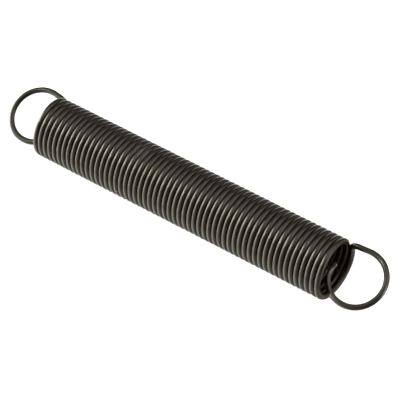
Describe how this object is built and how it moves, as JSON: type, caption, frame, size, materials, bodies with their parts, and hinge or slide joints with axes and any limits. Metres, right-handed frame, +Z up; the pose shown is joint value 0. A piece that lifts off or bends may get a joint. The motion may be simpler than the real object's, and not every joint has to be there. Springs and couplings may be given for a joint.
{
  "type": "extension spring",
  "caption": "Close-wound extension spring of round wire with a full loop at each end, made to pull two anchor points together.",
  "frame": {"origin": "middle of the coil, on its axis", "axes": "+X along the axis of the coil toward the right-hand loop, +Z up as the spring lies on its side"},
  "size_m": [0.0939, 0.0132, 0.0132],
  "materials": {
    "wire": "oiled hard-drawn wire, dark and half glossy"
  },
  "bodies": {
    "root": {"spring": "wire"}
  },
  "joints": []
}
